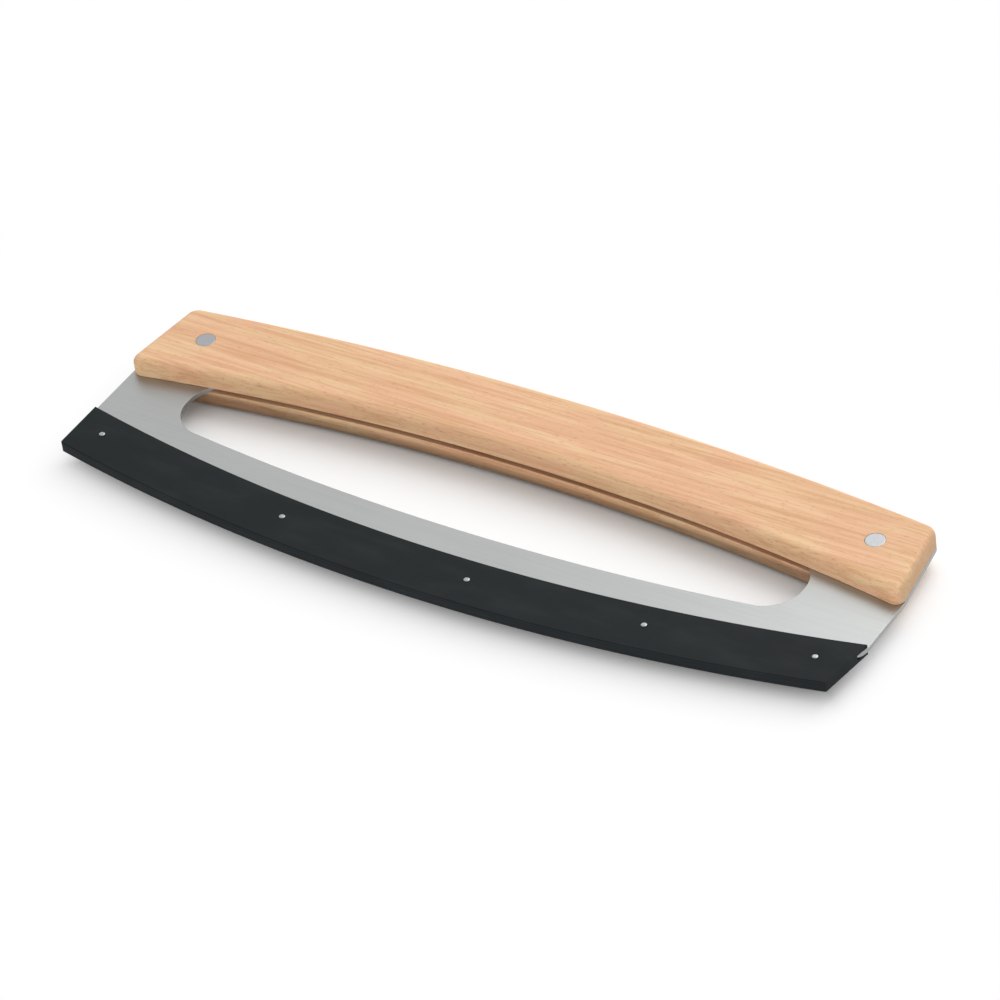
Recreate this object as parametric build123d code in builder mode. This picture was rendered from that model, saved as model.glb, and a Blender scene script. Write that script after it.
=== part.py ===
"""Rocking pizza knife with an arched two-part wooden handle and a riveted blade guard, lying on its back."""

import os
from math import sqrt

from build123d import *

os.makedirs("parts", exist_ok=True)

# Handle: an arched bar whose ends lean in towards its palm side, measured to its corners before rounding
handle_length = 347.0
handle_width = 35.0
handle_thickness = 18.0
handle_arch_radius = 1000.0
handle_back_radius = 1350.0
handle_end_lean = 5.5
handle_back_end_slope = 6.0
handle_palm_corner_radius = 5.0
handle_finger_corner_radius = 4.0
handle_edge_radius = 3.5

# Blade: one plate that fills the handle's outline between the scales, ground along its curved edge
plate_thickness = 2.0
blade_end_inset = 0.5
blade_depth = 67.2
edge_radius = 800.0
blade_corner_radius = 14.0
bevel_height = 5.0
edge_land = 0.3

# Finger opening: both long sides bow outwards, and the upper one is out of sight between the scales
opening_offset = -3.5
opening_side_wall = 34.5
opening_bow_radius = 1000.0
opening_depth = 43.5
opening_recess = 4.0
opening_end_round_share = 0.53

# Cutler's rivets: a stud driven into a tube, with heads flush in both scales
rivet_end_distance = 22.8
rivet_head_diameter = 8.0
rivet_head_height = 1.6
rivet_tube_diameter = 5.0
rivet_stud_diameter = 3.4
rivet_stud_length = 12.0
rivet_end_gap = 0.4
rivet_fit = 0.05

# Guard: two strips riveted over a spacer, which leaves a slot for the blade's edge
guard_overlap = 9.2
guard_height = 23.7
guard_strip_thickness = 1.3
guard_grip_gap = 0.05
guard_edge_gap = 0.3
guard_welt_horn_height = 3.5
guard_edge_chamfer = 0.3
guard_corner_radius = 1.0
guard_right_end_inset = 0.5
guard_right_end_lean = 3.6
guard_rivet_shank = 1.6
guard_rivet_head = 2.4
guard_rivet_head_height = 0.4
guard_rivet_rounding = 0.25
guard_rivet_fit = 0.05

# Where the guard's rivets stand, as shares of half its length from its middle
guard_rivet_shares = (-0.928, -0.388, 0.103, 0.532, 0.916)

# Extra reach of a cutting tool past the faces that it leaves
cut_overrun = 5.0

# Sizes that follow from the ones above
handle_half_length = handle_length / 2
handle_back_half_length = handle_half_length - handle_end_lean
blade_half_length = handle_half_length - blade_end_inset
scale_thickness = (handle_thickness - plate_thickness) / 2
opening_half_length = blade_half_length - opening_side_wall
rivet_place = handle_half_length - rivet_end_distance
edge_centre_y = edge_radius - blade_depth
guard_slot_width = plate_thickness + 2 * guard_grip_gap
guard_thickness = guard_slot_width + 2 * guard_strip_thickness
guard_top_radius = edge_radius - guard_overlap
guard_bottom_radius = guard_top_radius + guard_height
welt_top_radius = edge_radius + guard_edge_gap


def arc_drop(radius, half_chord):
    """How far an arc has left its middle tangent, at half a chord from its middle."""
    return radius - sqrt(radius**2 - half_chord**2)


def ring_y(radius, x):
    """Height of a ring about the cutting edge's centre, at a distance from the knife's middle."""
    return edge_centre_y - sqrt(radius**2 - x**2)


def arched_face(low_half, low_middle_y, low_end_y, high_half, high_middle_y, high_end_y):
    """Face between a lower and an upper arc, whose ends are joined by straight lines."""
    with BuildSketch() as band:
        with BuildLine():
            ThreePointArc((-low_half, low_end_y), (0, low_middle_y), (low_half, low_end_y))
            Line((low_half, low_end_y), (high_half, high_end_y))
            ThreePointArc((high_half, high_end_y), (0, high_middle_y), (-high_half, high_end_y))
            Line((-high_half, high_end_y), (-low_half, low_end_y))
        make_face()
    return band.sketch


def guard_face(top_radius):
    """Band of the guard from a ring about the cutting edge's centre down to the guard's outer edge."""
    right_end_x = blade_half_length - guard_right_end_inset
    right_end_y = ring_y(guard_top_radius, right_end_x)
    right_end_slope = guard_right_end_lean / guard_height
    with BuildSketch() as band:
        add(
            arched_face(
                blade_half_length,
                edge_centre_y - guard_bottom_radius,
                ring_y(guard_bottom_radius, blade_half_length),
                blade_half_length,
                edge_centre_y - top_radius,
                ring_y(top_radius, blade_half_length),
            )
        )
        # The right-hand end leans in towards the guard's outer edge
        with BuildLine():
            Polyline(
                (right_end_x + right_end_slope * cut_overrun, right_end_y + cut_overrun),
                (
                    right_end_x - right_end_slope * (guard_height + cut_overrun),
                    right_end_y - guard_height - cut_overrun,
                ),
                (blade_half_length + cut_overrun, right_end_y - guard_height - cut_overrun),
                (blade_half_length + cut_overrun, right_end_y + cut_overrun),
                close=True,
            )
        make_face(mode=Mode.SUBTRACT)
        lower_corners = band.vertices().sort_by(Axis.Y)[:2]
        fillet(lower_corners, guard_corner_radius)
        with Locations(*guard_rivet_places):
            Circle(guard_rivet_shank / 2 + guard_rivet_fit, mode=Mode.SUBTRACT)
    return band.sketch


def upright_edges(scale):
    """Edges of a handle scale that run between its inner and its outer face."""
    return scale.edges().filter_by(lambda edge: edge.bounding_box().size.Z > scale_thickness / 2)


# Handle outline, where y = 0 is the middle of its finger side: with sharp corners, and rounded
finger_corner_y = -arc_drop(handle_arch_radius, handle_half_length)
palm_corner_y = handle_width - arc_drop(handle_back_radius, handle_back_half_length)
with BuildSketch() as handle_blank:
    add(
        arched_face(
            handle_half_length,
            0,
            finger_corner_y,
            handle_back_half_length,
            handle_width,
            palm_corner_y,
        )
    )
with BuildSketch() as handle_outline:
    add(handle_blank.sketch)
    fillet(handle_outline.vertices().group_by(Axis.Y)[0], handle_finger_corner_radius)
    fillet(handle_outline.vertices().group_by(Axis.Y)[-1], handle_palm_corner_radius)

# Finger opening
opening_bow = arc_drop(opening_bow_radius, opening_half_length)
opening_end_height = opening_depth + opening_recess - 2 * opening_bow
with BuildSketch() as finger_opening:
    add(
        arched_face(
            opening_half_length,
            -opening_depth,
            opening_bow - opening_depth,
            opening_half_length,
            opening_recess,
            opening_recess - opening_bow,
        )
    )
    fillet(finger_opening.vertices(), opening_end_round_share * opening_end_height)

# Handle rivets stand halfway between the handle's two long sides
rivet_y = (
    handle_width - arc_drop(handle_back_radius, rivet_place) - arc_drop(handle_arch_radius, rivet_place)
) / 2
rivet_places = [(-rivet_place, rivet_y), (rivet_place, rivet_y)]
rivet_hole_radius = rivet_tube_diameter / 2 + rivet_fit
rivet_seat_radius = rivet_head_diameter / 2 + rivet_fit
rivet_seat_height = handle_thickness / 2 - rivet_head_height

# Guard rivets stand on a ring just outside the cutting edge
guard_rivet_radius = welt_top_radius + guard_rivet_head / 2
guard_rivet_places = []
for guard_rivet_share in guard_rivet_shares:
    guard_rivet_x = guard_rivet_share * blade_half_length
    guard_rivet_places.append((guard_rivet_x, ring_y(guard_rivet_radius, guard_rivet_x)))

# The knife lies on the flat back of its handle, and the origin is the spot under its middle
guard_rim_y = edge_centre_y - guard_bottom_radius
middle_y = -(handle_width + guard_rim_y) / 2
blade_plane = Plane(origin=(0, middle_y, handle_thickness / 2))
# Cross-section of the knife: x from the edge to the handle, y out of the front
section_plane = Plane(origin=blade_plane.origin, x_dir=blade_plane.y_dir, z_dir=blade_plane.x_dir)
edge_axis = Axis(blade_plane.from_local_coords((0, edge_centre_y, 0)), blade_plane.z_dir)


# Blade plate: the ground blade and the tang between the scales in one piece
shoulder_y = finger_corner_y + (palm_corner_y - finger_corner_y) * blade_end_inset / handle_end_lean
blade_corner_y = ring_y(edge_radius, blade_half_length)
with BuildPart() as blade_plate:
    with BuildSketch(blade_plane.offset(-plate_thickness / 2)) as plate_outline:
        with BuildLine():
            ThreePointArc(
                (-blade_half_length, blade_corner_y),
                (0, -blade_depth),
                (blade_half_length, blade_corner_y),
            )
            Line((blade_half_length, blade_corner_y), (blade_half_length, shoulder_y))
            Line((blade_half_length, shoulder_y), (-blade_half_length, shoulder_y))
            Line((-blade_half_length, shoulder_y), (-blade_half_length, blade_corner_y))
        make_face()
        fillet(plate_outline.vertices().group_by(Axis.Y)[0], blade_corner_radius)
        add(handle_outline.sketch)
        with Locations((opening_offset, 0)):
            add(finger_opening.sketch, mode=Mode.SUBTRACT)
        with Locations(*rivet_places):
            Circle(rivet_hole_radius, mode=Mode.SUBTRACT)
    extrude(amount=plate_thickness)
    for side in (-1, 1):
        with BuildSketch(section_plane):
            with BuildLine():
                Polyline(
                    (-blade_depth - cut_overrun, side * edge_land / 2),
                    (-blade_depth, side * edge_land / 2),
                    (bevel_height - blade_depth, side * plate_thickness / 2),
                    (bevel_height - blade_depth, side * (plate_thickness / 2 + cut_overrun)),
                    (-blade_depth - cut_overrun, side * (plate_thickness / 2 + cut_overrun)),
                    close=True,
                )
            make_face()
        revolve(axis=edge_axis, mode=Mode.SUBTRACT)
blade_plate.part.label = "blade_plate"
export_step(blade_plate.part, "parts/blade_plate.step")


# Handle scales, one on each side of the tang, with all outer edges rounded
for label, side in (("handle_front_scale", 1), ("handle_back_scale", -1)):
    with BuildPart() as handle_scale:
        with BuildSketch(blade_plane.offset(side * plate_thickness / 2)):
            add(handle_blank.sketch)
        extrude(amount=side * scale_thickness)
        # The back scale's ends slope in towards its outer face, so sections across them are wedges
        if side < 0:
            wedge_depth = scale_thickness + cut_overrun
            wedge_width = handle_back_end_slope * wedge_depth / scale_thickness
            for end in (-1, 1):
                corner = blade_plane.from_local_coords(
                    (end * handle_half_length, finger_corner_y, -plate_thickness / 2)
                )
                end_line = Vector(-end * handle_end_lean, palm_corner_y - finger_corner_y, 0)
                with BuildSketch(Plane(origin=corner, x_dir=(0, 0, -1), z_dir=end_line)):
                    with BuildLine():
                        Polyline(
                            (0, 0),
                            (wedge_depth, end * wedge_width),
                            (wedge_depth, -end * cut_overrun),
                            (0, -end * cut_overrun),
                            close=True,
                        )
                    make_face()
                extrude(amount=handle_width + handle_thickness, both=True, mode=Mode.SUBTRACT)
        fillet(upright_edges(handle_scale).group_by(Axis.Y)[0], handle_finger_corner_radius)
        fillet(upright_edges(handle_scale).group_by(Axis.Y)[-1], handle_palm_corner_radius)
        outer_face = handle_scale.faces().sort_by(Axis.Z, reverse=side < 0)[-1]
        fillet(outer_face.edges(), handle_edge_radius)
        with BuildSketch(blade_plane):
            with Locations(*rivet_places):
                Circle(rivet_hole_radius)
        extrude(amount=side * handle_thickness, mode=Mode.SUBTRACT)
        with BuildSketch(blade_plane.offset(side * rivet_seat_height)):
            with Locations(*rivet_places):
                Circle(rivet_seat_radius)
        extrude(amount=side * (rivet_head_height + cut_overrun), mode=Mode.SUBTRACT)
    handle_scale.part.label = label
    export_step(handle_scale.part, f"parts/{label}.step")


# Rivet studs: flush heads in the front scale, with solid shanks
with BuildPart() as handle_rivet_studs:
    with BuildSketch(blade_plane.offset(rivet_seat_height)):
        with Locations(*rivet_places):
            Circle(rivet_head_diameter / 2)
    extrude(amount=rivet_head_height)
    with BuildSketch(blade_plane.offset(rivet_seat_height)):
        with Locations(*rivet_places):
            Circle(rivet_stud_diameter / 2)
    extrude(amount=-rivet_stud_length)
handle_rivet_studs.part.label = "handle_rivet_studs"
export_step(handle_rivet_studs.part, "parts/handle_rivet_studs.step")


# Rivet sockets: flush heads in the back scale, with tubes that take the studs
with BuildPart() as handle_rivet_sockets:
    with BuildSketch(blade_plane.offset(-rivet_seat_height)):
        with Locations(*rivet_places):
            Circle(rivet_head_diameter / 2)
    extrude(amount=-rivet_head_height)
    with BuildSketch(blade_plane.offset(-rivet_seat_height)):
        with Locations(*rivet_places):
            Circle(rivet_tube_diameter / 2)
            Circle(rivet_stud_diameter / 2 + rivet_fit, mode=Mode.SUBTRACT)
    extrude(amount=2 * rivet_seat_height - rivet_end_gap)
handle_rivet_sockets.part.label = "handle_rivet_sockets"
export_step(handle_rivet_sockets.part, "parts/handle_rivet_sockets.step")


# Outer strips of the guard, one on each face of the blade
for label, side in (("guard_front_strip", 1), ("guard_back_strip", -1)):
    with BuildPart() as guard_strip:
        with BuildSketch(blade_plane.offset(side * guard_slot_width / 2)):
            add(guard_face(guard_top_radius))
        extrude(amount=side * guard_strip_thickness)
        outer_face = guard_strip.faces().sort_by(Axis.Z, reverse=side < 0)[-1]
        chamfer(outer_face.outer_wire().edges(), guard_edge_chamfer)
    guard_strip.part.label = label
    export_step(guard_strip.part, f"parts/{label}.step")


# Guard spacer, which the cutting edge rests above, and which rises a little beside the blade's corners
welt_horn_radius = edge_radius - guard_welt_horn_height
blade_room_half_length = blade_half_length + guard_edge_gap
with BuildSketch() as blade_room:
    add(
        arched_face(
            blade_room_half_length,
            edge_centre_y - welt_top_radius,
            ring_y(welt_top_radius, blade_room_half_length),
            blade_room_half_length,
            0,
            finger_corner_y,
        )
    )
    fillet(blade_room.vertices().group_by(Axis.Y)[0], blade_corner_radius + guard_edge_gap)
with BuildPart() as guard_welt:
    with BuildSketch(blade_plane.offset(-guard_slot_width / 2)):
        add(guard_face(welt_horn_radius))
        add(blade_room.sketch, mode=Mode.SUBTRACT)
    extrude(amount=guard_slot_width)
guard_welt.part.label = "guard_welt"
export_step(guard_welt.part, "parts/guard_welt.step")


# Guard rivets: a shank through all three layers and a low head on each side
with BuildPart() as guard_rivets:
    with BuildSketch(blade_plane.offset(-guard_thickness / 2)):
        with Locations(*guard_rivet_places):
            Circle(guard_rivet_shank / 2)
    extrude(amount=guard_thickness)
    for side in (-1, 1):
        with BuildSketch(blade_plane.offset(side * guard_thickness / 2)):
            with Locations(*guard_rivet_places):
                Circle(guard_rivet_head / 2)
        extrude(amount=side * guard_rivet_head_height)
    head_rims = guard_rivets.edges().filter_by(GeomType.CIRCLE).group_by(Axis.Z)
    fillet(head_rims[0] + head_rims[-1], guard_rivet_rounding)
guard_rivets.part.label = "guard_rivets"
export_step(guard_rivets.part, "parts/guard_rivets.step")
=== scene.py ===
"""Dressed scene of a rocking pizza knife: beech handle, satin steel blade and a riveted charcoal guard."""

import logging
import math
from collections.abc import Callable
from dataclasses import dataclass
from enum import Enum

import bmesh
import bpy
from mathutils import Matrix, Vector


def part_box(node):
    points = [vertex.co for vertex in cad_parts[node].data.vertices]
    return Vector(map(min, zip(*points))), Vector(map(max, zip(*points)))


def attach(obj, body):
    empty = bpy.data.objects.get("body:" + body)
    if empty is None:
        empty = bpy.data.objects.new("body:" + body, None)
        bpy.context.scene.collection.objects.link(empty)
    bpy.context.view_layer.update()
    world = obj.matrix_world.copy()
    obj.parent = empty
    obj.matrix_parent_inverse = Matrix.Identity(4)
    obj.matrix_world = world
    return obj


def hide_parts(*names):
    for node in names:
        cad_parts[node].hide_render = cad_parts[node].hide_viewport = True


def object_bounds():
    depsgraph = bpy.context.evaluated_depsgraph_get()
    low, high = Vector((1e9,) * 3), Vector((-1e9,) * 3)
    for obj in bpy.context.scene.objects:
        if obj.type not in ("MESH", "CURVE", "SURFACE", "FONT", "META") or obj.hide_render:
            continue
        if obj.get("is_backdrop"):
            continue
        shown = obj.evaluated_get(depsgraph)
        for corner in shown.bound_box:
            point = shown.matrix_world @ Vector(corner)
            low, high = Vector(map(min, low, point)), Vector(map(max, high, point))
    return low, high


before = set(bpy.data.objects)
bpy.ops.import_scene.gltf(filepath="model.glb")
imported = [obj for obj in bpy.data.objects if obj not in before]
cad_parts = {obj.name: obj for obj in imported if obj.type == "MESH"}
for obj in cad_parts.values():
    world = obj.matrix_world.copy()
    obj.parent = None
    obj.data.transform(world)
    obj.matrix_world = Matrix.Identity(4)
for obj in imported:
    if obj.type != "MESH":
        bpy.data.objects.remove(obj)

MM = 0.001

# Distances below which places are the same, and below which vertices are merged
TINY = 0.01 * MM
WELD = TINY / 10

# Turn below which neighbouring faces are one flat face
FLAT_ANGLE = math.radians(0.05)

# Cosines of the angle to an axis, above which a direction is near it and above which it is along it
NEAR = 0.5
ALONG = 0.999

# Bevel profile of a round edge
ROUND = 0.5

# Left and right, or down and up
ENDS = (-1, 1)

# The Mix node's factor, two colours and result by number, because the names of its sockets repeat
MIX_INPUTS = (0, 6, 7)
MIX_RESULT = 2

# How strongly the finer layers of a cloudy pattern show
NOISE_ROUGHNESS = 0.55

Colour = tuple[float, float, float]
Socket = bpy.types.NodeSocket
End = tuple[Vector, Vector]

log = logging.getLogger("rocking_knife")


class Side(Enum):
    """The knife's two faces: the front looks up at the camera, and the back lies on the table."""

    FRONT = 1
    BACK = -1


class Element(Enum):
    """What a selection in edit mode is made of."""

    VERTICES = "VERT"
    EDGES = "EDGE"
    FACES = "FACE"


class Body(Enum):
    """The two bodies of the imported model."""

    KNIFE = "knife"
    GUARD = "guard"


class Slot(Enum):
    """The record's material slots."""

    STEEL = "steel"
    BEECH = "beech"
    RIVET = "rivet"
    GUARD = "guard"


def arc_drop(radius: float, half_chord: float) -> float:
    """Return how far an arc has left its middle tangent, at half a chord from its middle."""
    return radius - math.sqrt(radius**2 - half_chord**2)


def clear_bench() -> None:
    """Leave edit mode and deselect everything, before a new primitive is added."""
    active = bpy.context.view_layer.objects.active
    if active is not None and active.mode == "EDIT":
        bpy.ops.object.mode_set(mode="OBJECT")
    bpy.ops.object.select_all(action="DESELECT")


class Piece:
    """One mesh under the hands: it starts as a primitive and is shaped by the operators of edit mode."""

    def __init__(self, name: str) -> None:
        """Take over the primitive that was just added, with its place moved into its mesh.

        Args:
            name: Name of the finished piece.
        """
        self.object = bpy.context.object
        self.object.name = name
        bpy.ops.object.transform_apply(location=True, rotation=True, scale=True)
        bpy.ops.object.mode_set(mode="EDIT")
        bpy.ops.mesh.select_mode(type="VERT")
        self.select_all()

    @classmethod
    def point(cls, name: str, place: Vector) -> "Piece":
        """Start from a single vertex, which is how an outline begins.

        Args:
            name: Name of the piece.
            place: Where the vertex stands.

        Returns:
            The piece in edit mode, with its vertex selected.
        """
        clear_bench()
        bpy.ops.mesh.primitive_plane_add(size=MM, location=place)
        piece = cls(name)
        bpy.ops.mesh.merge(type="CENTER")
        return piece

    @classmethod
    def card(cls, name: str, place: Vector, width: float, height: float) -> "Piece":
        """Start from a rectangle that stands across the knife, as the section of a long strip.

        Args:
            name: Name of the piece.
            place: Centre of the rectangle.
            width: Its size along Y.
            height: Its size along Z.

        Returns:
            The piece in edit mode, all selected.
        """
        clear_bench()
        bpy.ops.mesh.primitive_plane_add(size=1, location=place, rotation=(0, math.pi / 2, 0))
        bpy.context.object.scale = (height, width, 1)
        return cls(name)

    @classmethod
    def rod(cls, name: str, place: Vector, radius: float, depth: float, sides: int) -> "Piece":
        """Start from an upright cylinder.

        Args:
            name: Name of the piece.
            place: Centre of the cylinder.
            radius: Its radius.
            depth: Its height.
            sides: Number of its side faces.

        Returns:
            The piece in edit mode, all selected.
        """
        clear_bench()
        bpy.ops.mesh.primitive_cylinder_add(vertices=sides, radius=radius, depth=depth, location=place)
        return cls(name)

    def select_all(self) -> None:
        """Select the whole mesh."""
        bpy.ops.mesh.select_all(action="SELECT")

    def select(self, element: Element, chosen: Callable[[Vector, Vector], bool]) -> None:
        """Select the vertices, edges or faces that a test picks.

        Args:
            element: What to select.
            chosen: Test that is given an element's middle, and its normal or an edge's direction.
        """
        bpy.ops.mesh.select_mode(type=element.value)
        bpy.ops.mesh.select_all(action="DESELECT")
        mesh = bmesh.from_edit_mesh(self.object.data)
        mesh.normal_update()
        if element is Element.VERTICES:
            for vertex in mesh.verts:
                vertex.select_set(chosen(vertex.co, vertex.normal))
        if element is Element.EDGES:
            for edge in mesh.edges:
                ends = [vertex.co for vertex in edge.verts]
                edge.select_set(chosen((ends[0] + ends[1]) / 2, (ends[1] - ends[0]).normalized()))
        if element is Element.FACES:
            for face in mesh.faces:
                face.select_set(chosen(face.calc_center_median(), face.normal))
        mesh.select_flush_mode()
        bmesh.update_edit_mesh(self.object.data)

    def select_level(self, element: Element, level: float) -> None:
        """Select the vertices, edges or faces whose middles lie at one height over the table."""
        self.select(element, lambda place, _: abs(place.z - level) < TINY)

    def pen(self) -> Vector:
        """Return the place of the selected vertex."""
        mesh = bmesh.from_edit_mesh(self.object.data)
        return next(vertex.co.copy() for vertex in mesh.verts if vertex.select)

    def line_to(self, place: Vector) -> None:
        """Draw a straight run from the selected vertex."""
        step = place - self.pen()
        bpy.ops.mesh.extrude_vertices_move(TRANSFORM_OT_translate={"value": step})

    def arc_to(self, place: Vector, centre: Vector, steps: int) -> None:
        """Draw an arc from the selected vertex.

        Args:
            place: Where the arc ends.
            centre: Centre of the arc.
            steps: Number of its segments.
        """
        first, last = self.pen() - centre, place - centre
        turn = math.atan2(last.y, last.x) - math.atan2(first.y, first.x)
        turn = (turn + math.pi) % (2 * math.pi) - math.pi
        self.spin(centre, turn, steps)

    def spin(self, centre: Vector, turn: float, steps: int) -> None:
        """Sweep anticlockwise about an upright axis: without a window the operator turns clockwise."""
        bpy.ops.mesh.spin(steps=steps, angle=-turn, center=centre, axis=(0, 0, 1))

    def turn(self, centre: Vector, turn: float) -> None:
        """Turn anticlockwise about an upright axis: without a window the operator turns clockwise."""
        bpy.ops.transform.rotate(value=-turn, orient_axis="Z", center_override=centre)

    def fill(self) -> None:
        """Close the drawn outline with one face."""
        self.select_all()
        bpy.ops.mesh.remove_doubles(threshold=TINY)
        bpy.ops.mesh.edge_face_add()

    def extrude(self, rise: float = 0.0) -> None:
        """Extrude the selected faces upwards, or in place where nothing is given."""
        bpy.ops.mesh.extrude_region_move(TRANSFORM_OT_translate={"value": (0, 0, rise)})

    def grow(self, level: float, upright: float, centre: Vector) -> None:
        """Scale what is selected about a point, by one factor along X and Y and another along Z."""
        bpy.ops.transform.resize(value=(level, level, upright), center_override=centre)

    def round_off(self, kind: str, reach: float, segments: int, clamp: bool) -> None:
        """Bevel the selected edges or corners with a round profile."""
        settings = {"offset": reach, "segments": segments, "profile": ROUND, "clamp_overlap": clamp}
        bpy.ops.mesh.bevel(affect=kind, **settings)

    def round_edges(self, radius: float, segments: int) -> None:
        """Round the selected edges."""
        self.round_off("EDGES", radius, segments, True)

    def round_corners(self, reach: float, segments: int) -> None:
        """Round the selected corners of a flat face, from a distance to each corner on."""
        self.round_off("VERTICES", reach, segments, False)

    def inset(self, thickness: float, depth: float = 0.0) -> None:
        """Inset the selected faces by a rim, and let them rise."""
        bpy.ops.mesh.inset(thickness=thickness, depth=depth, use_even_offset=True)

    def cut_off(self, place: Vector, outwards: Vector) -> None:
        """Cut off what lies beyond a plane, and close the cut.

        Args:
            place: Point on the plane.
            outwards: Direction of the side that is removed.
        """
        self.select_all()
        bpy.ops.mesh.bisect(
            plane_co=place,
            plane_no=outwards,
            use_fill=True,
            clear_outer=True,
            threshold=TINY,
        )

    def face_outwards(self) -> None:
        """Merge doubles and turn all faces outwards."""
        self.select_all()
        bpy.ops.mesh.remove_doubles(threshold=WELD)
        bpy.ops.mesh.normals_make_consistent(inside=False)

    def tidy_flats(self) -> None:
        """Dissolve edges that lie inside flat faces."""
        self.select_all()
        bpy.ops.mesh.dissolve_limited(angle_limit=FLAT_ANGLE)

    def close_edit(self) -> None:
        """Leave edit mode with this piece alone selected."""
        clear_bench()
        self.object.select_set(True)
        bpy.context.view_layer.objects.active = self.object

    def open_edit(self) -> None:
        """Go back to edit mode, all selected."""
        self.close_edit()
        bpy.ops.object.mode_set(mode="EDIT")
        self.select_all()

    def modifier(self, kind: str, **settings: object) -> None:
        """Add a modifier and apply it.

        Args:
            kind: Blender's name of the modifier type.
            **settings: Its settings.
        """
        self.close_edit()
        made = self.object.modifiers.new(kind.title(), kind)
        for name, value in settings.items():
            setattr(made, name, value)
        bpy.ops.object.modifier_apply(modifier=made.name)

    def cut_out(self, tool: "Piece") -> None:
        """Cut another solid out of this one, and remove the other.

        Args:
            tool: The other solid.
        """
        tool.face_outwards()
        tool.close_edit()
        self.modifier("BOOLEAN", object=tool.object, operation="DIFFERENCE", solver="EXACT")
        bpy.data.objects.remove(tool.object)

    def copy_to(self, step: Vector) -> "Piece":
        """Copy the piece with a mesh of its own.

        Args:
            step: How far the copy is moved.

        Returns:
            The copy, in edit mode.
        """
        self.close_edit()
        bpy.ops.object.duplicate(linked=False)
        bpy.ops.transform.translate(value=step)
        return Piece(self.object.name + "_copy")

    def absorb(self, others: list["Piece"]) -> None:
        """Join other pieces into this one as separate shells.

        Args:
            others: The pieces that go in.
        """
        for other in others:
            other.close_edit()
        self.close_edit()
        for other in others:
            other.object.select_set(True)
        bpy.ops.object.join()


@dataclass(frozen=True)
class Dressing:
    """What a finished piece gets: its material, its body and how it is shaded; a slot is also held here,
    which is not given to the piece.
    """

    material: bpy.types.Material
    slot: Slot
    body: Body
    smooth_angle: float = 40
    normal_weight: int = 90

    def finish(self, piece: Piece, node: str) -> None:
        """Shade a piece, dress it, hang it on its body and let it stand for its CAD node.

        Args:
            piece: The piece.
            node: CAD node that it replaces.
        """
        piece.open_edit()
        piece.face_outwards()
        piece.close_edit()
        bpy.ops.object.shade_smooth_by_angle(angle=math.radians(self.smooth_angle))
        piece.modifier("WEIGHTED_NORMAL", keep_sharp=True, weight=self.normal_weight)
        piece.object.data.materials.clear()
        piece.object.data.materials.append(self.material)
        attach(piece.object, self.body.value)
        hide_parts(node)
        count = sum(len(face.vertices) - 2 for face in piece.object.data.polygons)
        log.info("%s: %d triangles on body %s", piece.object.name, count, self.body.value)


class Varying:
    """A number that varies over a surface: a socket whose operators add Math nodes."""

    def __init__(self, shader: "Shader", socket: Socket) -> None:
        """Wrap an output socket of a shader's tree."""
        self.shader = shader
        self.socket = socket

    def __add__(self, other: object) -> "Varying":
        """Return self + other."""
        return self.shader.math("ADD", self, other)

    __radd__ = __add__

    def __sub__(self, other: object) -> "Varying":
        """Return self - other."""
        return self.shader.math("SUBTRACT", self, other)

    def __rsub__(self, other: object) -> "Varying":
        """Return other - self."""
        return self.shader.math("SUBTRACT", other, self)

    def __mul__(self, other: object) -> "Varying":
        """Return self * other."""
        return self.shader.math("MULTIPLY", self, other)

    __rmul__ = __mul__

    def __pow__(self, other: object) -> "Varying":
        """Return self to the power of other."""
        return self.shader.math("POWER", self, other)

    def __abs__(self) -> "Varying":
        """Return the size of self without its sign."""
        return self.shader.math("ABSOLUTE", self)

    def ramp(self, low: float, high: float) -> "Varying":
        """Rise smoothly from 0 to 1.

        Args:
            low: Value at which the result is 0.
            high: Value at which the result is 1.

        Returns:
            The eased result.
        """
        node = self.shader.node(
            "ShaderNodeMapRange",
            {"interpolation_type": "SMOOTHSTEP"},
            {"Value": self, "From Min": low, "From Max": high, "To Min": 0.0, "To Max": 1.0},
        )
        return Varying(self.shader, node.outputs["Result"])


@dataclass(frozen=True)
class Cloud:
    """A cloudy pattern: its spots in mm along each axis, its finer layers, and what shows of it."""

    spots: tuple[float, float, float]
    detail: float
    low: float = 0.0
    high: float = 1.0
    share: float = 1.0
    warp: float = 0.0

    def eased(self, value: Varying) -> Varying:
        """Return the pattern's value, eased from its low to its high end."""
        return value.ramp(self.low, self.high)

    def shown(self, value: Varying) -> Varying:
        """Return the eased value, as strongly as it shows."""
        return self.eased(value) * self.share


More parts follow.
